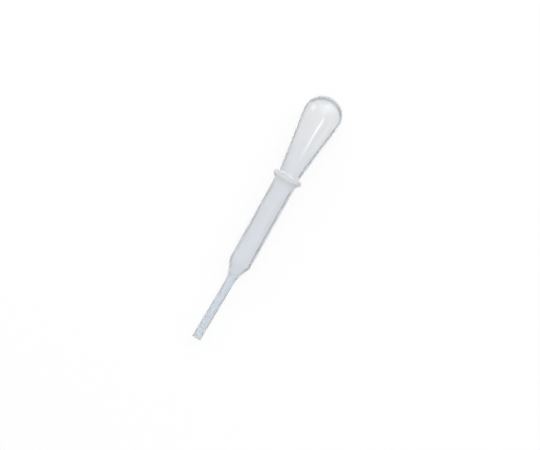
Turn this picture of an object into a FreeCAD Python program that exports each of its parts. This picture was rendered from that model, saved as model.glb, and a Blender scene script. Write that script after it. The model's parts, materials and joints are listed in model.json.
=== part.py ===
import FreeCAD, Part
import math
import os

# A one-piece dropper pipette, blow-moulded from soft low-density polyethylene.
# Read from the open end it has a thin stem, a shoulder, a round barrel, a collar
# and a pear-shaped squeeze bulb with a closed round end.
# All lengths are in millimetres, all angles in degrees.

# Lengths along the pipette's own axis, counted from the open tip.
overall_length = 89.75
shoulder_start = 20.8
shoulder_end = 28.9
collar_start = 57.93
rim_start = 59.75
collar_top = 60.95

# Outer radii.
stem_radius = 1.5
barrel_radius = 3.78
collar_radius = 5.0
neck_radius = 3.6
dome_radius = 6.5

# Blending radii of the outside.
shoulder_foot_round = 11.0
shoulder_top_round = 3.0
collar_root_round = 0.8
rim_lower_round = 0.4
rim_upper_round = 0.7
neck_root_round = 0.3

# Wall thickness. The wall is thick where the blown tube stretched least.
stem_wall = 0.55
barrel_wall = 0.45
neck_wall = 0.45
bulb_wall = 0.42
dome_end_wall = 1.6

# The hollow follows the collar outwards as a shallow groove.
groove_radius = 3.95
groove_flat_start = 59.7
groove_flat_end = 60.2
groove_end = 61.7
groove_root_round = 0.9
groove_top_round = 0.5

# The low weld ridge where the mould halves pinched the hot tube shut, at the bulb's end.
pinch_height = 0.15
pinch_width = 3.4
pinch_thickness = 0.6
pinch_sunk = 0.5
pinch_edge_round = 0.12

# How far the plane where the mould halves met is turned from upright as the pipette lies.
parting_plane_roll = 80.0

dome_centre = overall_length - pinch_height - dome_radius
inner_dome_radius = dome_radius - bulb_wall
inner_dome_centre = overall_length - pinch_height - dome_end_wall - inner_dome_radius
neck_end = collar_top + neck_root_round


def point(along, radius):
    """A point of the section, which is drawn in the plane where the mould halves met."""
    return FreeCAD.Vector(along, 0.0, radius)


def line(start, end):
    return Part.makeLine(start, end)


def arc(centre, radius, start_angle, end_angle):
    """An arc in the profile plane. Angles turn from the axis direction towards the outside."""
    angles = (start_angle, (start_angle + end_angle) / 2.0, end_angle)
    on_arc = []
    for angle in angles:
        turned = math.radians(angle)
        offset = point(radius * math.cos(turned), radius * math.sin(turned))
        on_arc.append(centre + offset)
    return Part.Arc(on_arc[0], on_arc[1], on_arc[2]).toShape()


def first(edge):
    return edge.valueAt(edge.FirstParameter)


def last(edge):
    return edge.valueAt(edge.LastParameter)


def rise(start, foot_round, end, top_round):
    """A smooth step from a lower to a higher radius: a hollow arc, a cone and a round arc."""
    foot_centre = start + point(0.0, foot_round)
    top_centre = end - point(0.0, top_round)
    between = top_centre - foot_centre
    slope = math.atan2(between.z, between.x)
    slope += math.asin((foot_round + top_round) / between.Length)
    slope_degrees = math.degrees(slope)
    foot = arc(foot_centre, foot_round, 270.0, 270.0 + slope_degrees)
    top = arc(top_centre, top_round, 90.0 + slope_degrees, 90.0)
    return [foot, line(last(foot), first(top)), top]


def fall(start, top_round, end, foot_round):
    """The same step the other way round, from a higher to a lower radius."""
    top_centre = start - point(0.0, top_round)
    foot_centre = end + point(0.0, foot_round)
    between = foot_centre - top_centre
    slope = math.atan2(-between.z, between.x)
    slope += math.asin((foot_round + top_round) / between.Length)
    slope_degrees = math.degrees(slope)
    top = arc(top_centre, top_round, 90.0, 90.0 - slope_degrees)
    foot = arc(foot_centre, foot_round, 270.0 - slope_degrees, 270.0)
    return [top, line(last(top), first(foot)), foot]


def bulb(neck, centre_along, radius):
    """A straight cone that opens from the neck and runs smoothly into the round end."""
    centre = point(centre_along, 0.0)
    to_centre = centre - neck
    half_angle = math.asin(radius / to_centre.Length) - math.atan2(neck.z, to_centre.x)
    dome = arc(centre, radius, 90.0 + math.degrees(half_angle), 0.0)
    return [line(neck, first(dome)), dome]


def outside():
    """The outer profile, from the tip to the bulb's end."""
    shoulder = rise(
        point(shoulder_start, stem_radius),
        shoulder_foot_round,
        point(shoulder_end, barrel_radius),
        shoulder_top_round,
    )
    collar = rise(
        point(collar_start, barrel_radius),
        collar_root_round,
        point(rim_start, collar_radius),
        rim_lower_round,
    )
    rim_centre = point(collar_top - rim_upper_round, collar_radius - rim_upper_round)
    rim = arc(rim_centre, rim_upper_round, 90.0, 0.0)
    neck_centre = point(neck_end, neck_radius + neck_root_round)
    neck = arc(neck_centre, neck_root_round, 180.0, 270.0)
    edges = [line(point(0.0, stem_radius), first(shoulder[0]))]
    edges += shoulder
    edges += [line(last(shoulder[-1]), first(collar[0]))]
    edges += collar
    edges += [line(last(collar[-1]), first(rim)), rim, line(last(rim), first(neck)), neck]
    edges += bulb(last(neck), dome_centre, dome_radius)
    return edges


def hollow():
    """The inner profile, from the mouth of the bore to the inside of the bulb's end."""
    bore_radius = stem_radius - stem_wall
    chamber_radius = barrel_radius - barrel_wall
    shoulder = rise(
        point(shoulder_start, bore_radius),
        shoulder_foot_round + stem_wall,
        point(shoulder_end, chamber_radius),
        shoulder_top_round - barrel_wall,
    )
    groove = rise(
        point(collar_start, chamber_radius),
        groove_root_round,
        point(groove_flat_start, groove_radius),
        groove_top_round,
    )
    groove_back = fall(
        point(groove_flat_end, groove_radius),
        groove_top_round,
        point(groove_end, neck_radius - neck_wall),
        groove_root_round,
    )
    edges = [line(point(0.0, bore_radius), first(shoulder[0]))]
    edges += shoulder
    edges += [line(last(shoulder[-1]), first(groove[0]))]
    edges += groove
    edges += [line(last(groove[-1]), first(groove_back[0]))]
    edges += groove_back
    edges += bulb(last(groove_back[-1]), inner_dome_centre, inner_dome_radius)
    return edges


def moulded_wall():
    """The wall's section, turned once round the axis."""
    outer = outside()
    inner = hollow()
    cut_end = line(first(outer[0]), first(inner[0]))
    closed_end = line(last(outer[-1]), last(inner[-1]))
    in_order = Part.sortEdges(outer + [closed_end] + inner + [cut_end])[0]
    section = Part.Face(Part.Wire(in_order))
    axis = FreeCAD.Vector(1.0, 0.0, 0.0)
    return section.revolve(FreeCAD.Vector(0.0, 0.0, 0.0), axis, 360.0)


def pinch_ridge():
    """The short weld ridge across the bulb's end, in the plane where the mould halves met."""
    depth = pinch_height + pinch_sunk
    corner = FreeCAD.Vector(overall_length - depth, -pinch_thickness / 2.0, -pinch_width / 2.0)
    ridge = Part.makeBox(depth, pinch_thickness, pinch_width, corner)
    outer_edges = [edge for edge in ridge.Edges if edge.BoundBox.XMax > overall_length - pinch_sunk]
    return ridge.makeFillet(pinch_edge_round, outer_edges)


def resting_lean():
    """How far the axis leans from level when the barrel's shoulder and the bulb touch a table."""
    shoulder_centre = point(shoulder_end, -(barrel_radius - shoulder_top_round))
    to_dome = point(dome_centre, 0.0) - shoulder_centre
    lean = math.asin((dome_radius - shoulder_top_round) / to_dome.Length)
    return lean - math.atan2(to_dome.z, to_dome.x)


def laid_down(shape):
    """Lays the pipette on the plane Z = 0, tip towards -X, centred on the origin."""
    origin = FreeCAD.Vector(0.0, 0.0, 0.0)
    lean = math.degrees(resting_lean())
    shape.rotate(origin, FreeCAD.Vector(1.0, 0.0, 0.0), parting_plane_roll)
    shape.rotate(origin, FreeCAD.Vector(0.0, 1.0, 0.0), -lean)
    box = shape.optimalBoundingBox(False, False)
    move = FreeCAD.Vector(-(box.XMin + box.XMax) / 2.0, -(box.YMin + box.YMax) / 2.0, -box.ZMin)
    shape.translate(move)
    return move


def on_axis(along, move):
    """Where a station on the axis comes to lie once the pipette is laid down."""
    lean = resting_lean()
    return FreeCAD.Vector(along * math.cos(lean), 0.0, along * math.sin(lean)) + move


pipette = moulded_wall().fuse(pinch_ridge()).removeSplitter().Solids[0]
move = laid_down(pipette)

os.makedirs("parts", exist_ok=True)
pipette.exportStep("parts/pipette_body.step")

print("valid", pipette.isValid(), "closed", pipette.isClosed(), "volume", round(pipette.Volume, 2))
print("lean in degrees", round(math.degrees(resting_lean()), 4))
print("axis", round(math.cos(resting_lean()), 6), round(math.sin(resting_lean()), 6))
print("tip at", on_axis(0.0, move))
print("middle of the stem at", on_axis(shoulder_start / 2.0, move))
print("middle of the barrel at", on_axis((shoulder_end + collar_start) / 2.0, move))
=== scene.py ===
# %% [markdown]
# # A dropper pipette, lying on a table
#
# The real thing is one piece of soft, milky polyethylene. A hot tube of plastic is blown
# inside a mould, so it has a thin stem, a round barrel, a collar and a pear-shaped squeeze
# bulb, all with one thin wall round one hollow. This lesson models that wall as a single
# closed shell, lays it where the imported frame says, and then gives it its milky finish.
#
# The frame comes first, because every place and most sizes are read from it.

# %% Load the frame
import json
import math

import bpy
from mathutils import Matrix, Vector


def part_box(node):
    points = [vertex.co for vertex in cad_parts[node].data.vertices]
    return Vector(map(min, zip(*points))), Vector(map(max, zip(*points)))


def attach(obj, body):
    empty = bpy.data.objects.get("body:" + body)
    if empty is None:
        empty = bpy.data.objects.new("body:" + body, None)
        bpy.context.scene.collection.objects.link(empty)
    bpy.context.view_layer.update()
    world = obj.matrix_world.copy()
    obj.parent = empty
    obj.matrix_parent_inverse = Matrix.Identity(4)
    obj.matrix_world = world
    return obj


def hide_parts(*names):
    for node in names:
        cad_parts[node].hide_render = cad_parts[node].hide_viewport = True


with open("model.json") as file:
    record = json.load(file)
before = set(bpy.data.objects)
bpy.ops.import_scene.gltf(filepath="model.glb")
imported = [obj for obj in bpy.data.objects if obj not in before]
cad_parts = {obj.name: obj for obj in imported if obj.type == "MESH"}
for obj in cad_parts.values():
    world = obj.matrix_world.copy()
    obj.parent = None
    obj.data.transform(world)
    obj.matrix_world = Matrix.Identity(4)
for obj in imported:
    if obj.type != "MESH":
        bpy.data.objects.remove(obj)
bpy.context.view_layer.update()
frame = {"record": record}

lowest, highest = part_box("pipette_body")
print("CAD box in mm:", [round(1000 * (b - a), 2) for a, b in zip(lowest, highest)])

# %% [markdown]
# The mounts in the record say where the pipette's own axis runs. The mount of the bore sits
# in the middle of the stem and points out of the open tip, so the tip is half a stem away,
# and the axis of the model is the other way round, from the tip towards the bulb.

# %% The pipette's axis
MM = 0.001
mounts = {mount["name"]: mount for mount in frame["record"]["mounts"]}


def mount_size(name, size):
    """One measured size of a mount, in millimetres."""
    return mounts[name]["dims"][size]


axis = -Vector(mounts["tip_bore"]["axis"]).normalized()
stem_length = mount_size("stem", "length_mm")
tip = Vector(mounts["tip_bore"]["pos_m"]) - axis * stem_length / 2 * MM
print("tip at", [round(c / MM, 2) for c in tip], "axis", [round(c, 4) for c in axis])

# %% [markdown]
# ## Camera
#
# The camera could stand anywhere, but the pipette is looked down on, as it lies, and it
# leans a little to the right of upright in the picture. A long lens far away keeps both ends
# at the same scale. The camera is turned about its own line of sight instead of turning
# the pipette, because the pipette has to stay where the frame put it.

# %% Camera
PICTURE_WIDTH = 175.5
LEAN_IN_PICTURE = 29.2
FOCAL_LENGTH = 100.0
SENSOR_WIDTH = 36.0
RIGHT_OF_BARREL = 2.42
ABOVE_BARREL = -0.78

camera_data = bpy.data.cameras.new("camera")
camera_data.lens = FOCAL_LENGTH
camera_data.sensor_width = SENSOR_WIDTH
camera = bpy.data.objects.new("camera", camera_data)
bpy.context.scene.collection.objects.link(camera)
bpy.context.scene.camera = camera

camera_turn = math.radians(LEAN_IN_PICTURE - 90.0)
picture_right = Vector((math.cos(camera_turn), math.sin(camera_turn), 0.0))
picture_up = Vector((-math.sin(camera_turn), math.cos(camera_turn), 0.0))
barrel_middle = Vector(mounts["barrel"]["pos_m"])
aim = barrel_middle + (RIGHT_OF_BARREL * picture_right + ABOVE_BARREL * picture_up) * MM
camera_height = PICTURE_WIDTH * MM * FOCAL_LENGTH / SENSOR_WIDTH
camera.location = (aim.x, aim.y, barrel_middle.z + camera_height)
camera.rotation_euler = (0.0, 0.0, camera_turn)
print("camera at", [round(c, 4) for c in camera.location])

# %% [markdown]
# ## The wall's section
#
# The piece is round, so its shape is one drawn line: up the outside from the tip to the
# bulb's end, and back down the inside. It could be pushed and pulled out of a cylinder, but
# a line made of straight runs and tangent arcs gives the same shape at every station, and
# it keeps the wall as thin as it really is. Lengths are counted from the tip along the axis,
# in millimetres. The radii that others fit to are read from the mounts.

# %% Sizes of the section
stem_radius = mount_size("stem", "r_mm")
bore_radius = mount_size("tip_bore", "r_mm")
barrel_radius = mount_size("barrel", "r_mm")
barrel_length = mount_size("barrel", "length_mm")
barrel_station = (barrel_middle - tip).dot(axis) / MM

FLARE_LENGTH = 1.82
RIM_LENGTH = 1.2
NECK_ROUND = 0.3

shoulder_start = stem_length
shoulder_end = barrel_station - barrel_length / 2
collar_start = barrel_station + barrel_length / 2
rim_start = collar_start + FLARE_LENGTH
collar_top = rim_start + RIM_LENGTH
neck_start = collar_top + NECK_ROUND
bulb_end = 89.6
collar_radius = 5.0
neck_radius = 3.6
dome_radius = 6.5
dome_centre = bulb_end - dome_radius

barrel_wall = 0.45
collar_wall = 0.42
neck_wall = 0.45
bulb_wall = 0.42
dome_end_wall = 0.75
stem_wall = stem_radius - bore_radius
print("barrel from", round(shoulder_end, 2), "to", round(collar_start, 2), "mm from the tip")

# %% [markdown]
# Each helper below gives a list of points of the section, as (distance along, radius). An
# arc is cut into steps of a few degrees and a straight run into steps of a millimetre, so
# that the finished mesh has even rings that can bend later. A step between two radii is
# a hollow arc, a cone and a round arc that share their tangents, as a mould is cut.

# %% Helpers: straight runs and arcs
ARC_STEP = 4.0
RUN_STEP = 1.0
SAME_PLACE = 1e-6


def run(start, end, step=RUN_STEP):
    """Points of a straight run, without its start."""
    pieces = max(1, math.ceil(math.dist(start, end) / step))
    part = [n / pieces for n in range(1, pieces + 1)]
    return [tuple(a + (b - a) * t for a, b in zip(start, end)) for t in part]


def arc(centre, radius, start_angle, end_angle, step=ARC_STEP):
    """Points of an arc, with both ends. Angles in degrees, from the axis outwards."""
    pieces = max(2, math.ceil(abs(end_angle - start_angle) / step))
    angles = [math.radians(start_angle + (end_angle - start_angle) * n / pieces)
              for n in range(pieces + 1)]
    return [(centre[0] + radius * math.cos(a), centre[1] + radius * math.sin(a)) for a in angles]


print("an arc of 90 degrees has", len(arc((0.0, 0.0), 1.0, 90.0, 0.0)), "points")


# %% Helpers: steps and joints of the section
def rise(start, foot_round, end, top_round):
    """A smooth step out: a hollow arc, a cone and a round arc."""
    foot = (start[0], start[1] + foot_round)
    top = (end[0], end[1] - top_round)
    slope = math.atan2(top[1] - foot[1], top[0] - foot[0])
    slope = math.degrees(slope + math.asin((foot_round + top_round) / math.dist(foot, top)))
    hollow_arc = arc(foot, foot_round, 270.0, 270.0 + slope)
    round_arc = arc(top, top_round, 90.0 + slope, 90.0)
    return hollow_arc + run(hollow_arc[-1], round_arc[0]) + round_arc[1:]


def fall(start, top_round, end, foot_round):
    """The same step the other way, inwards."""
    mirrored = rise((-end[0], end[1]), foot_round, (-start[0], start[1]), top_round)
    return [(-along, radius) for along, radius in reversed(mirrored)]


def joined(*stretches):
    """Stretches one after another, with straight runs between them and no point twice."""
    points = []
    for stretch in stretches:
        if points and math.dist(points[-1], stretch[0]) > SAME_PLACE:
            points += run(points[-1], stretch[0])[:-1]
        points += [p for p in stretch if not points or math.dist(points[-1], p) > SAME_PLACE]
    return points


print("helpers ready: rise, fall and joined")

# %% [markdown]
# The bulb is a cone that runs smoothly into a ball. The rings close up towards the middle of
# the ball's end, because the weld ridge that is raised there later is under a millimetre
# wide. Even rings all over would do too, but they would cost ten times the faces.

# %% Helper: the pear-shaped bulb
FINE_FROM = 20.0
FINE_STEP = 1.0


def pear(neck, centre_along, radius):
    """A cone from the neck that runs smoothly into the round end and stops on the axis."""
    half_angle = math.asin(radius / math.dist(neck, (centre_along, 0.0)))
    half_angle -= math.atan2(neck[1], centre_along - neck[0])
    start_angle = 90.0 + math.degrees(half_angle)
    dome = arc((centre_along, 0.0), radius, start_angle, FINE_FROM)
    end = arc((centre_along, 0.0), radius, FINE_FROM, 0.0, FINE_STEP)
    return [neck] + run(neck, dome[0]) + dome[1:] + end[1:]


print("the round end is centred", round(dome_centre, 2), "mm from the tip")

# %% [markdown]
# The outside comes first, from the tip to the bulb's end. The tip's cut edges get a tiny
# round, which the knife that trims the real tip leaves too, so that they catch the light.

# %% Draw the outside
CUT_ROUND = 0.08
CUT_STEP = 30.0
SHOULDER_FOOT = 11.0
SHOULDER_TOP = 3.0
COLLAR_FOOT = 0.8
RIM_LOWER = 0.4
RIM_UPPER = 0.7
RIM_STEP = 10.0
NECK_STEP = 15.0

rim_round_start = collar_top - RIM_UPPER
outside = joined(
    arc((CUT_ROUND, stem_radius - CUT_ROUND), CUT_ROUND, 180.0, 90.0, CUT_STEP),
    rise((shoulder_start, stem_radius), SHOULDER_FOOT,
         (shoulder_end, barrel_radius), SHOULDER_TOP),
    rise((collar_start, barrel_radius), COLLAR_FOOT, (rim_start, collar_radius), RIM_LOWER),
    arc((rim_round_start, collar_radius - RIM_UPPER), RIM_UPPER, 90.0, 0.0, RIM_STEP),
    arc((neck_start, neck_radius + NECK_ROUND), NECK_ROUND, 180.0, 270.0, NECK_STEP),
    pear((neck_start, neck_radius), dome_centre, dome_radius),
)
print("points of the outside:", len(outside))

# %% [markdown]
# The inside follows it. Inside the collar the wall keeps an even thickness, as a blown wall
# does. That also keeps the collar light: a solid ring of plastic there would look dark.

# %% Draw the inside
INNER_RIM_DELAY = 0.05
INNER_RIM_LOWER = 0.2

chamber_radius = barrel_radius - barrel_wall
inner_collar = collar_radius - collar_wall
inner_neck = neck_radius - neck_wall
inner_dome = dome_radius - bulb_wall
inside = joined(
    arc((CUT_ROUND, bore_radius + CUT_ROUND), CUT_ROUND, 180.0, 270.0, CUT_STEP),
    rise((shoulder_start, bore_radius), SHOULDER_FOOT + stem_wall,
         (shoulder_end, chamber_radius), SHOULDER_TOP - barrel_wall),
    rise((collar_start, chamber_radius), COLLAR_FOOT + barrel_wall,
         (rim_start + INNER_RIM_DELAY, inner_collar), INNER_RIM_LOWER),
    fall((rim_round_start, inner_collar), RIM_UPPER - collar_wall,
         (neck_start, inner_neck), NECK_ROUND + collar_wall),
    pear((neck_start, inner_neck), bulb_end - dome_end_wall - inner_dome, inner_dome),
)
section = list(reversed(outside)) + inside
print("points of the inside:", len(inside), "and of the whole section:", len(section))

# %% [markdown]
# ## Spinning the section
#
# A lathe, or a revolved curve, would do, but the spin tool leaves the edge columns where
# they are wanted. The mould has two halves, and they meet in a plane through the axis, so
# the spin is made in short and long turns: two narrow columns lie beside each meeting line,
# and a hair of flash is raised between them later. The line is drawn by extruding one
# vertex from point to point, and the spin goes on from the last column each time.

# %% Helpers: select and spin
COLUMNS_PER_HALF = 60
FLASH_HALF_ANGLE = 1.0


def deselect_all():
    """Deselects every object, because an operator acts on all that is selected."""
    for other in bpy.context.selected_objects:
        other.select_set(False)


def only(obj):
    """Makes obj the one selected and active object."""
    deselect_all()
    obj.select_set(True)
    bpy.context.view_layer.objects.active = obj


def turn_section(steps, degrees):
    """Spins what is selected about the upright axis and leaves the last column selected."""
    bpy.ops.mesh.spin(steps=steps, angle=math.radians(degrees), center=(0, 0, 0), axis=(0, 0, 1))


print("the shell will have", 2 * (COLUMNS_PER_HALF + 2), "columns")

# %% Draw the line and spin the shell
deselect_all()
bpy.ops.mesh.primitive_plane_add(size=MM)
pipette = bpy.context.object
pipette.name = "pipette"
pipette.data.name = "pipette"
bpy.ops.object.mode_set(mode="EDIT")
bpy.ops.mesh.merge(type="CENTER")
places = [Vector((radius * MM, 0.0, along * MM)) for along, radius in section]
bpy.ops.transform.translate(value=places[0])
for here, there in zip(places, places[1:]):
    bpy.ops.mesh.extrude_region_move(TRANSFORM_OT_translate={"value": there - here})
bpy.ops.mesh.select_all(action="SELECT")
for half in range(2):
    turn_section(1, FLASH_HALF_ANGLE)
    turn_section(COLUMNS_PER_HALF, 180.0 - 2 * FLASH_HALF_ANGLE)
    turn_section(1, FLASH_HALF_ANGLE)
bpy.ops.mesh.select_all(action="SELECT")
bpy.ops.mesh.remove_doubles(threshold=MM / 1000)
bpy.ops.mesh.normals_make_consistent(inside=False)
bpy.ops.object.mode_set(mode="OBJECT")
print("shell:", len(pipette.data.vertices), "vertices,", len(pipette.data.polygons), "faces")

# %% [markdown]
# ## What the mould leaves
#
# Where the mould halves meet they pinch the hot tube shut, and a short welded ridge stays
# across the bulb's end. Along both sides, the joint between the halves leaves a hair of
# flash. The ridge could be a small block joined on with a Boolean, but its cut would spoil
# the even rings. A Displace modifier moves vertices by a painted weight instead, so both
# marks grow out of the wall smoothly, as they do in the hot plastic.

# %% Helpers: displace by weight
def smooth_step(low, high, value):
    """0 below low, 1 above high, and an even S curve between them."""
    t = min(1.0, max(0.0, (value - low) / (high - low)))
    return t * t * (3.0 - 2.0 * t)


def displace(name, weight_of, direction, strength):
    """Moves each vertex of the pipette by its weight, in a direction, and applies the move."""
    group = pipette.vertex_groups.new(name=name)
    moved = 0
    for vertex in pipette.data.vertices:
        weight = weight_of(vertex.co / MM)
        if weight > 0.0:
            group.add([vertex.index], weight, "REPLACE")
            moved += 1
    only(pipette)
    modifier = pipette.modifiers.new(name, "DISPLACE")
    modifier.vertex_group = name
    modifier.direction = direction
    modifier.mid_level = 0.0
    modifier.strength = strength * MM
    bpy.ops.object.modifier_apply(modifier=name)
    pipette.vertex_groups.remove(pipette.vertex_groups[name])
    print(name, "moves", moved, "vertices by up to", round(strength, 3), "mm")


# %% Raise the weld ridge
RIDGE_HEIGHT = 0.05
RIDGE_WIDTH = 3.4
RIDGE_THICKNESS = 0.6
RIDGE_ROUND = 0.25
RIDGE_TAPER = 1.4
SKIN_DEPTH = 0.1


def on_ridge(place):
    """Weight of the ridge: 1 on its top, falling to 0 over its rounded edges."""
    if place.z < dome_centre:
        return 0.0
    if math.hypot(place.x, place.y, place.z - dome_centre) < dome_radius - SKIN_DEPTH:
        return 0.0
    along_edge = smooth_step(RIDGE_WIDTH / 2, RIDGE_WIDTH / 2 - RIDGE_TAPER, abs(place.x))
    side_edge = smooth_step(RIDGE_THICKNESS / 2, RIDGE_THICKNESS / 2 - RIDGE_ROUND, abs(place.y))
    return along_edge * side_edge


displace("weld_ridge", on_ridge, "Z", RIDGE_HEIGHT)

# %% [markdown]
# Inside, the two pinched walls flow together into a thick rounded bead. It runs across the
# bulb's end under the ridge, and here it gives that end its grey rim. Its size is a guess,
# because the inside can't be measured. It is raised out of the inner wall in the same way,
# a little off centre and a little turned, as welds are.

# %% Raise the weld bead inside
BEAD_HEIGHT = 0.75
BEAD_HALF_WIDTH = 2.6
BEAD_CREST = 1.0
BEAD_OFF_CENTRE = 3.0
BEAD_TWIST = 13.0
BEAD_SHIFT = 0.5
BEAD_FULL_TO = 25.0
BEAD_GONE_AT = 72.0
INNER_WALL_DEPTH = 0.25


def on_bead(place):
    """Weight of the bead: 1 on its crest inside the bulb's end, falling to 0 round it."""
    from_centre = place - Vector((0.0, 0.0, dome_centre))
    from_centre.rotate(Matrix.Rotation(math.radians(-BEAD_TWIST), 3, "Z"))
    if from_centre.z < 0.0 or from_centre.length > dome_radius - INNER_WALL_DEPTH:
        return 0.0
    turn = math.degrees(math.atan2(from_centre.x, from_centre.z))
    lengthwise = smooth_step(BEAD_GONE_AT, BEAD_FULL_TO, abs(turn - BEAD_OFF_CENTRE))
    from_crest = abs(from_centre.y - BEAD_SHIFT)
    return lengthwise * smooth_step(BEAD_HALF_WIDTH, BEAD_CREST, from_crest)


displace("weld_bead", on_bead, "NORMAL", BEAD_HEIGHT)

# %% [markdown]
# The same joint runs on down both sides. There the halves only press the soft wall together,
# and a low, narrow bead can stay inside along each meeting line. How high it is, and that it
# is higher on one side, is a guess that gives the outline its thin darker edge. To tell the
# inner wall from the outer one, the outer radius is read off the drawn section.

# %% Helper: the outside's radius
def outer_radius_at(along):
    """The outside's radius at a distance from the tip, read off the drawn section."""
    for (a, ra), (b, rb) in zip(outside, outside[1:]):
        if a <= along <= b and b > a:
            return ra + (rb - ra) * (along - a) / (b - a)
    return 0.0


print("radius at the rim:", round(outer_radius_at((rim_start + collar_top) / 2), 2), "mm")

# %% Raise the side beads inside
SIDE_HEIGHT = 0.4
BARREL_SHARE = 0.75
SIDE_HALF_WIDTH = 1.5
SIDE_CREST = 0.6
LEFT_SHARE = 0.2
LEFT_DRIFT = 0.36
SIDE_WALL_DEPTH = 0.2
BARREL_FADE = (shoulder_start + 4.0, shoulder_end + 2.0)
BULB_FADE = (dome_centre + 4.0, dome_centre - 1.0)
COLLAR_FADE = (2.5, 5.0)
COLLAR_CLEARANCE = 1.0


def on_side_bead(place):
    """Weight of the side beads: inside the barrel and the bulb, along both meeting lines."""
    if math.hypot(place.x, place.y) > outer_radius_at(place.z) - SIDE_WALL_DEPTH:
        return 0.0
    if collar_start - COLLAR_CLEARANCE < place.z < collar_top + COLLAR_CLEARANCE:
        return 0.0
    from_collar = abs(place.z - (collar_start + collar_top) / 2)
    height = smooth_step(*BARREL_FADE, place.z) * smooth_step(*BULB_FADE, place.z)
    height *= smooth_step(*COLLAR_FADE, from_collar)
    if place.z < collar_start:
        height *= BARREL_SHARE
    from_line = place.y
    if place.x > 0.0:
        height *= LEFT_SHARE
        from_line -= LEFT_DRIFT * place.x
    return height * smooth_step(SIDE_HALF_WIDTH, SIDE_CREST, abs(from_line))


displace("side_beads", on_side_bead, "NORMAL", SIDE_HEIGHT)

# %% [markdown]
# Outside, the joint leaves a hair of flash, thinner than a sheet of paper. The two narrow
# columns beside each meeting line were spun for it, so only their shared edge has to move.

# %% Raise the flash along the meeting lines
FLASH_HEIGHT = 0.015
ON_THE_LINE = 1e-3
RADIUS_TOLERANCE = 0.02
FLASH_SKIN = 0.05
FLASH_STOP = 2.0


def on_flash(place):
    """Weight of the flash: 1 on the two meeting columns of the outside."""
    radius = math.hypot(place.x, place.y)
    if abs(place.y) > ON_THE_LINE or radius < stem_radius - RADIUS_TOLERANCE:
        return 0.0
    if place.z > bulb_end - FLASH_STOP:
        return 0.0
    return 1.0 if radius > outer_radius_at(place.z) - FLASH_SKIN else 0.0


displace("flash", on_flash, "NORMAL", FLASH_HEIGHT)

# %% [markdown]
# So far the pipette stands upright on its tip at the origin. Now it is laid where the frame
# says: its Z axis goes along the mount's axis, and its mould plane is rolled to ten degrees
# from level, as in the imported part. Placing the object would show the same, but the place
# has to be in the mesh itself, so the transform is applied.

# %% Lay the pipette down
PARTING_ROLL = -10.0
roll = math.radians(PARTING_ROLL)
sideways = Vector((0.0, 1.0, 0.0))
upwards = axis.cross(sideways).normalized()
mould_line = sideways * math.cos(roll) + upwards * math.sin(roll)
turned = Matrix((mould_line, axis.cross(mould_line), axis)).transposed()
pipette.matrix_world = Matrix.Translation(tip) @ turned.to_4x4()
only(pipette)
bpy.ops.object.transform_apply(location=True, rotation=True, scale=True)
print("lean of the axis in degrees:", round(math.degrees(math.asin(axis.z)), 2))

# %% [markdown]
# The thin stem of a soft pipette is never quite straight. From the shoulder on it leans a
# little to one side. A bend modifier would swing the tip off the table, so the stem is moved
# level instead, by a weight that grows from the shoulder to the tip and starts softly, so
# that there is no kink.

# %% Bend the stem
STEM_LEAN = 1.4
BEND_START = 21.5
BEND_SOFTNESS = 3.0


def bend_reach(before_bend):
    """How far the bend has grown at a distance before its start, with a soft start."""
    return before_bend - BEND_SOFTNESS * (1.0 - math.exp(-before_bend / BEND_SOFTNESS))


def on_stem(place):
    """Weight of the bend: grows from 0 at the shoulder to 1 at the tip."""
    before_bend = BEND_START - (place * MM - tip).dot(axis) / MM
    return max(0.0, bend_reach(max(0.0, before_bend)) / bend_reach(BEND_START))


displace("stem_lean", on_stem, "Y", BEND_START * math.tan(math.radians(STEM_LEAN)))

# %% [markdown]
# ## Finish
#
# Soft polyethylene lets light through but clouds it. It could be a thin shader with no
# thickness, but the wall is modelled, so light is bent at both of its faces, and the thick
# end of the bulb and the edges come out darker by themselves.
#
# Nothing is the same from end to end. The stem is thickest for its width, so it is greyer
# and bluer, and the blown bulb is nearly clear. The collar is cloudier. Colour, milk and
# dullness are therefore three ramps along the pipette, and fine noises keep each of them
# from being one flat value.

# %% Smooth the faces
SHARP_EDGE = 35.0

only(pipette)
bpy.ops.object.shade_smooth_by_angle(angle=math.radians(SHARP_EDGE))
print("smooth where faces meet at less than", SHARP_EDGE, "degrees")

# %% Start the material
REFRACTION = 1.51

material = bpy.data.materials.new("milky_polyethylene")
material.use_nodes = True
nodes = material.node_tree.nodes
links = material.node_tree.links
shader = nodes["Principled BSDF"]
output = nodes["Material Output"]
shader.inputs["IOR"].default_value = REFRACTION


def add(kind, **settings):
    """Adds a node and sets its properties."""
    node = nodes.new(kind)
    for name, value in settings.items():
        setattr(node, name, value)
    return node


def mapped(value, low, high, to_low, to_high):
    """Maps a value that runs from low to high onto another range."""
    node = add("ShaderNodeMapRange")
    for name, number in (("From Min", low), ("From Max", high),
                         ("To Min", to_low), ("To Max", to_high)):
        node.inputs[name].default_value = number
    links.new(value, node.inputs["Value"])
    return node.outputs["Result"]


where = add("ShaderNodeTexCoord").outputs["Object"]
print("material", material.name, "bends light as", REFRACTION)

# %% [markdown]
# The pipette's own X grows from the tip to the bulb, so that one coordinate says where on
# the piece a point lies. A painted mask could say it too, but a ramp needs no picture, and
# its stops can be written in millimetres from the tip, like the section.

# %% Helper: a ramp along the pipette
split = add("ShaderNodeSeparateXYZ")
links.new(where, split.inputs[0])
far_end = tip + axis * bulb_end * MM
along = mapped(split.outputs["X"], tip.x, far_end.x, 0.0, 1.0)


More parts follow.
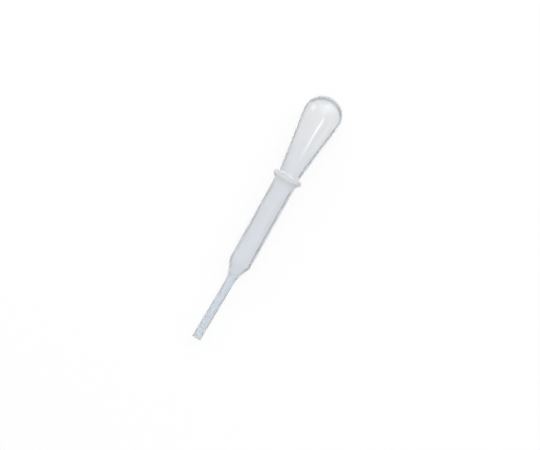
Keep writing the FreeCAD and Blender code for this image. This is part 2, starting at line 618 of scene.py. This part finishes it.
def ramp(stops):
    """A colour ramp along the pipette. Stops are (distance from the tip in mm, colour)."""
    node = add("ShaderNodeValToRGB")
    elements = node.color_ramp.elements
    for number, (station, colour) in enumerate(stops):
        element = elements[number] if number < 2 else elements.new(station / bulb_end)
        element.position = station / bulb_end
        element.color = (*colour, 1.0)
    links.new(along, node.inputs["Fac"])
    return node


def grey_ramp(stops):
    """The same ramp for plain numbers."""
    return ramp([(station, (value,) * 3) for station, value in stops])


print("ramps run from x", round(tip.x / MM, 1), "to", round(far_end.x / MM, 1), "mm")

# %% [markdown]
# First the colour. Light from below crosses the wall four times before it reaches the eye,
# and it takes the tint each time, so the tints look almost white when they are written
# down. They are cool at the stem, darkest at the cut tip, and turn neutral at the bulb.

# %% Colour along the pipette
TIP_TINT = (0.872, 0.902, 0.916)
STEM_TINT = (0.913, 0.943, 0.971)
SHOULDER_TINT = (0.929, 0.957, 0.989)
BARREL_TINT = (0.949, 0.962, 0.988)
UPPER_BARREL_TINT = (0.939, 0.953, 0.971)
COLLAR_TINT = (0.99, 0.994, 1.0)
NECK_TINT = (0.968, 0.982, 1.0)
BULB_TINT = (0.990, 0.993, 1.0)
DOME_TINT = (1.0, 1.0, 1.0)
TIP_ENDS = 0.8
STEM_BEGINS = 2.6
STEM_ENDS = 19.0
SHOULDER_MIDDLE = 24.0
UPPER_BARREL = 48.0
COLLAR_NEARS = collar_start - 0.9
COLLAR_BEGINS = collar_start + 0.3
NECK_BEGINS = collar_top + 1.0
BULB_WIDE = 75.0
DOME_BEGINS = 84.0

tint = ramp([
    (TIP_ENDS, TIP_TINT), (STEM_BEGINS, STEM_TINT), (STEM_ENDS, STEM_TINT),
    (SHOULDER_MIDDLE, SHOULDER_TINT), (shoulder_end, BARREL_TINT),
    (UPPER_BARREL, UPPER_BARREL_TINT),
    (COLLAR_NEARS, BARREL_TINT), (COLLAR_BEGINS, COLLAR_TINT), (collar_top, COLLAR_TINT),
    (NECK_BEGINS, NECK_TINT), (BULB_WIDE, BULB_TINT), (DOME_BEGINS, DOME_TINT),
])
print("tint from", TIP_TINT, "at the tip to", DOME_TINT, "at the bulb's end")

# %% [markdown]
# Then the milk. The shader splits the light: one share goes through the wall, and the rest
# is scattered as from paint. A milky volume would be truer but slow and full of grain, and
# in a wall of half a millimetre the split looks the same. The collar has more milk. The
# upper edge of its rim has the most, and that is a painted highlight: the extra milk paints
# the pale line of light that the rounded edge of the rim catches.

# %% Milk along the pipette
CLEAR = 0.820
COLLAR_CLEAR = 0.77
# Painted highlight: the rim's upper edge lets less light through, so its extra milk paints a
# pale line there.
RIM_CLEAR_PAINTED_HIGHLIGHT = 0.52
DOME_CLEAR = 0.847
RIM_HIGHLIGHT_FADE = 0.5
DOME_NEARS = 79.0

# This ramp also carries the painted highlight along the rim's upper edge.
clearness = grey_ramp([
    (COLLAR_NEARS, CLEAR), (COLLAR_BEGINS, COLLAR_CLEAR),
    (rim_start + RIM_HIGHLIGHT_FADE, COLLAR_CLEAR), (collar_top - RIM_HIGHLIGHT_FADE, RIM_CLEAR_PAINTED_HIGHLIGHT),
    (collar_top, RIM_CLEAR_PAINTED_HIGHLIGHT), (NECK_BEGINS, CLEAR),
    (DOME_NEARS, CLEAR), (DOME_BEGINS, DOME_CLEAR),
])
links.new(clearness.outputs["Color"], shader.inputs["Transmission Weight"])
print("share that goes through:", CLEAR, "in the collar", COLLAR_CLEAR, "at its rim", RIM_CLEAR_PAINTED_HIGHLIGHT)

# %% [markdown]
# A soft, wide noise multiplies the colour, as a blown wall is never quite even. The change
# is under two hundredths, because more of it reads as dirt.

# %% Clouds in the colour
CLOUD_SCALE = 160.0
CLOUD_DETAIL = 3.0
CLOUD_RANGE = (0.3, 0.7)
CLOUD_LOW = 0.985


def noise(scale, detail):
    """A noise in the pipette's own coordinates. A larger scale gives finer spots."""
    node = add("ShaderNodeTexNoise")
    node.inputs["Scale"].default_value = scale
    node.inputs["Detail"].default_value = detail
    links.new(where, node.inputs["Vector"])
    return node.outputs["Fac"]


clouds = mapped(noise(CLOUD_SCALE, CLOUD_DETAIL), *CLOUD_RANGE, CLOUD_LOW, 1.0)
clouded = add("ShaderNodeMix", data_type="RGBA", blend_type="MULTIPLY")
clouded.inputs["Factor"].default_value = 1.0
links.new(tint.outputs["Color"], clouded.inputs[6])
links.new(clouds, clouded.inputs[7])
links.new(clouded.outputs[2], shader.inputs["Base Color"])
print("clouds take the colour down to", CLOUD_LOW, "of itself")

# %% [markdown]
# Next, how dull it is. The stem was drawn out of the mould and is matt. The barrel is satin,
# and the bulb was stretched most and shines a little. A fine speckle on top breaks up the
# reflections, as the skin of this plastic does.

# %% Dullness along the pipette
SPECKLE = 0.04
SPECKLE_SCALE = 9000.0
SPECKLE_RANGE = (0.25, 0.75)
MATT = 0.45
SATIN = 0.217
GLOSSY = 0.137
MATT_ENDS = 18.0
SATIN_BEGINS = 25.0
SATIN_ENDS = 67.0
GLOSSY_BEGINS = 71.0

dullness = grey_ramp([
    (MATT_ENDS, MATT), (SATIN_BEGINS, SATIN), (SATIN_ENDS, SATIN), (GLOSSY_BEGINS, GLOSSY),
])
speckles = mapped(noise(SPECKLE_SCALE, 0.0), *SPECKLE_RANGE, -SPECKLE, SPECKLE)
speckled = add("ShaderNodeMath", operation="ADD")
links.new(dullness.outputs["Color"], speckled.inputs[0])
links.new(speckles, speckled.inputs[1])
links.new(speckled.outputs[0], shader.inputs["Roughness"])
print("roughness", MATT, "at the stem,", SATIN, "at the barrel,", GLOSSY, "at the bulb")

# %% [markdown]
# The mould's fine texture leaves a grain on the skin, too shallow to model. A bump a few
# hundredths of a millimetre deep only turns the reflections, and costs no faces.

# %% Grain of the skin
GRAIN_SCALE = 2500.0
GRAIN_DETAIL = 2.0
GRAIN_DEPTH = 0.02
GRAIN_STRENGTH = 0.15

bump = add("ShaderNodeBump")
bump.inputs["Strength"].default_value = GRAIN_STRENGTH
bump.inputs["Distance"].default_value = GRAIN_DEPTH * MM
links.new(noise(GRAIN_SCALE, GRAIN_DETAIL), bump.inputs["Height"])
links.new(bump.outputs["Normal"], shader.inputs["Normal"])
print("grain of", GRAIN_DEPTH, "mm")

# %% [markdown]
# Last, the plastic takes away a little light on its way through the wall, most of it red.
# Looked at across, the wall is half a millimetre thick and this hardly shows. Along the
# outline the path is many times longer, and that draws the cool grey edges. An edge colour
# on the surface could imitate it, but it would not know where the wall is thick.

# %% Absorption inside the wall
LEFT_OVER = (0.780, 0.822, 0.863)
ABSORPTION_DENSITY = 400.0

absorption = add("ShaderNodeVolumeAbsorption")
absorption.inputs["Color"].default_value = (*LEFT_OVER, 1.0)
absorption.inputs["Density"].default_value = ABSORPTION_DENSITY
links.new(absorption.outputs["Volume"], output.inputs["Volume"])

pipette.data.materials.clear()
pipette.data.materials.append(material)
print("absorption density", ABSORPTION_DENSITY, "per metre")

# %% [markdown]
# ## Where it lies, and the light
#
# The pipette lies on a plain pale table. To the eye the table is almost white, but it still
# has to take the shadow. So its material is part diffuse and part plain white light, and
# the white is only added for rays that the camera follows, straight or through the plastic.

# %% Table
FLOOR_SIZE = 3.0

deselect_all()
bpy.ops.mesh.primitive_plane_add(size=FLOOR_SIZE, location=(0.0, 0.0, lowest.z))
floor = bpy.context.object
floor.name = "floor"
print("the table lies at z =", round(lowest.z / MM, 3), "mm")


# %% Helper: white where it is seen
def seen_white(tree, to_camera, to_plastic):
    """The share of plain white for each kind of ray, and 0 for the rays that carry light."""
    path = tree.nodes.new("ShaderNodeLightPath")
    share = None
    for ray, white in (("Is Camera Ray", to_camera), ("Is Glossy Ray", to_plastic),
                       ("Is Transmission Ray", to_plastic)):
        part = tree.nodes.new("ShaderNodeMath")
        part.operation = "MULTIPLY"
        part.inputs[1].default_value = white
        tree.links.new(path.outputs[ray], part.inputs[0])
        if share is None:
            share = part.outputs[0]
            continue
        either = tree.nodes.new("ShaderNodeMath")
        either.operation = "MAXIMUM"
        tree.links.new(share, either.inputs[0])
        tree.links.new(part.outputs[0], either.inputs[1])
        share = either.outputs[0]
    return share


print("helper ready: seen_white")

# %% The table's finish
WHITE_TO_CAMERA = 0.87
WHITE_TO_PLASTIC = 1.0
TABLE_GREY = 0.95

floor_material = bpy.data.materials.new("pale_table")
floor_material.use_nodes = True
tree = floor_material.node_tree
tree.nodes.remove(tree.nodes["Principled BSDF"])
matt = tree.nodes.new("ShaderNodeBsdfDiffuse")
matt.inputs["Color"].default_value = (TABLE_GREY, TABLE_GREY, TABLE_GREY, 1.0)
white = tree.nodes.new("ShaderNodeEmission")
mixed = tree.nodes.new("ShaderNodeMixShader")
white_share = seen_white(tree, WHITE_TO_CAMERA, WHITE_TO_PLASTIC)
tree.links.new(white_share, mixed.inputs["Fac"])
tree.links.new(matt.outputs[0], mixed.inputs[1])
tree.links.new(white.outputs[0], mixed.inputs[2])
tree.links.new(mixed.outputs[0], tree.nodes["Material Output"].inputs["Surface"])
floor.data.materials.append(floor_material)
print("seen from above, the table is", WHITE_TO_CAMERA, "plain white and the rest diffuse")

# %% [markdown]
# The room is the world's even light, a little cool. Walls of card or a box of lamps would do
# the same with more parts. Where it is seen itself, straight or mirrored, it is plain white,
# so that the glossy bulb has a white room to mirror.

# %% World
ROOM_LIGHT = (0.660, 0.668, 0.683)
ROOM_SEEN = (1.0, 1.0, 1.0)

world = bpy.data.worlds.new("studio")
bpy.context.scene.world = world
world.use_nodes = True
tree = world.node_tree
background = tree.nodes["Background"]
room_light = tree.nodes.new("ShaderNodeMix")
room_light.data_type = "RGBA"
room_light.inputs[6].default_value = (*ROOM_LIGHT, 1.0)
room_light.inputs[7].default_value = (*ROOM_SEEN, 1.0)
tree.links.new(seen_white(tree, 1.0, 1.0), room_light.inputs["Factor"])
tree.links.new(room_light.outputs[2], background.inputs["Color"])
print("the room lights with", ROOM_LIGHT, "and is seen as", ROOM_SEEN)

# %% [markdown]
# The room gives most of the light, and three wide lamps shape it. One stands low behind the
# bulb and shines into it, so that the inside of the round end glows. One high up towards the
# bulb's end lays a broad soft sheen over the wall. A low one at the side, like a window,
# gives the faint shadow. None stands straight above, because the whole length would mirror
# it as one bright band.

# %% Wide lamps
def softbox(name, direction, distance, size, power, aim_at=(0.0, 0.0, 0.0), length=None):
    """A square or oblong area lamp that faces the pipette from a direction."""
    data = bpy.data.lights.new(name, "AREA")
    data.shape = "RECTANGLE"
    data.size = size
    data.size_y = length or size
    data.energy = power
    lamp = bpy.data.objects.new(name, data)
    bpy.context.scene.collection.objects.link(lamp)
    away = Vector(direction).normalized()
    lamp.location = Vector(aim_at) + away * distance
    lamp.rotation_euler = away.to_track_quat("Z", "Y").to_euler()
    return lamp


LAMPS_AWAY = 1.0
WINDOW_SIZE = 0.5
WIDE_SIZE = 1.0

low = softbox("low", (0.27, 0.92, 0.30), LAMPS_AWAY, WINDOW_SIZE, 1.50)
back = softbox("back", (0.86, -0.30, 0.45), LAMPS_AWAY, WIDE_SIZE, 3.60)
top_light = softbox("top_light", (0.634, 0.173, 0.755), LAMPS_AWAY, WIDE_SIZE, 3.40)
print("lamps:", [(lamp.name, round(lamp.data.energy, 2)) for lamp in (low, back, top_light)])

# %% [markdown]
# The bulb also shows one short thin line of light. Only a small bright lamp leaves a line
# that thin, and it has to stand where the wall mirrors it to the eye. That place could be
# found by trying, but the law of mirrors gives it from one spot on the wall. The spot is
# given in millimetres, as the section is. Lamps are placed and sized in metres.

# %% Narrow lamp
def mirrored_lamp(name, station, radius, side, lean, distance, width, length, power):
    """A small lamp where the wall at a station mirrors it into the camera.

    side is the angle from the top of the wall towards the left, lean the wall's tilt
    towards the tip, both in degrees.
    """
    turn, tilt = math.radians(side), math.radians(lean)
    outwards = upwards * math.cos(turn) + sideways * math.sin(turn)
    spot = tip + (axis * station + outwards * radius) * MM
    normal = outwards * math.cos(tilt) - axis * math.sin(tilt)
    view = (camera.location - spot).normalized()
    towards = 2.0 * normal.dot(view) * normal - view
    print(name, "stands towards", [round(c, 3) for c in towards])
    return softbox(name, towards, distance, width, power, spot, length)


STREAK_STATION = 78.5
STREAK_RADIUS = 5.9
STREAK_SIDE = -7.3
STREAK_LEAN = 7.7
STREAK_AWAY = 0.15
STREAK_WIDTH = 0.026
STREAK_LENGTH = 0.008
STREAK_POWER = 0.0095

streak = mirrored_lamp("streak", STREAK_STATION, STREAK_RADIUS, STREAK_SIDE, STREAK_LEAN,
                       STREAK_AWAY, STREAK_WIDTH, STREAK_LENGTH, STREAK_POWER)

# %% [markdown]
# The colours should come out as they are written, so the view transform is the standard one.
# A film-like transform would press the pale tones together and grey the white room.

# %% Colours as they are
bpy.context.scene.view_settings.view_transform = "Standard"
print("view transform:", bpy.context.scene.view_settings.view_transform)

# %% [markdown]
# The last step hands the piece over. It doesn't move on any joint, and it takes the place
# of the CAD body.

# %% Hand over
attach(pipette, "root")
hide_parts("pipette_body")
